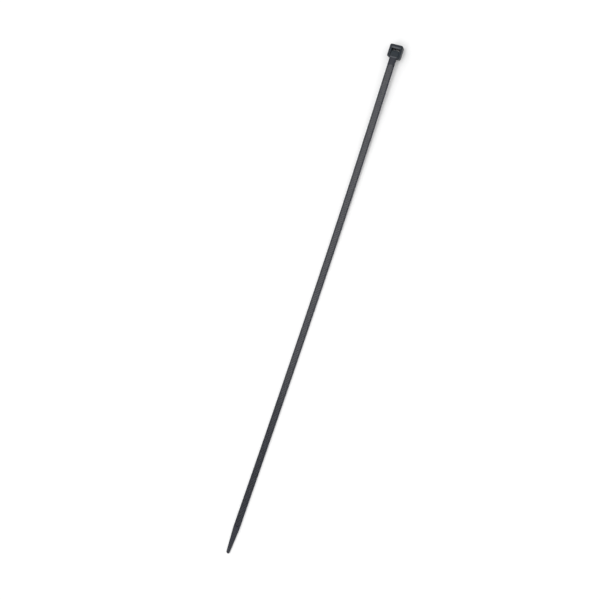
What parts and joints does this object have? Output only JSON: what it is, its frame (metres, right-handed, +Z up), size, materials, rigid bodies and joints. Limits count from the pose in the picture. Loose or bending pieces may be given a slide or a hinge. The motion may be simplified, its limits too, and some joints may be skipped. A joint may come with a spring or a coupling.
{
  "type": "cable tie",
  "caption": "Black moulded cable tie with a toothed strap, a tapered tail and a ratchet head, lying toothed side up.",
  "frame": {"origin": "on the table, under the middle of the tie's bounding box", "axes": "+X along the strap towards the head, +Y across the strap, +Z up, away from the table, on the toothed side"},
  "size_m": [0.38, 0.009, 0.0057],
  "materials": {
    "nylon": "satin moulded black nylon"
  },
  "bodies": {
    "root": {"cable_tie": "nylon"}
  },
  "joints": []
}
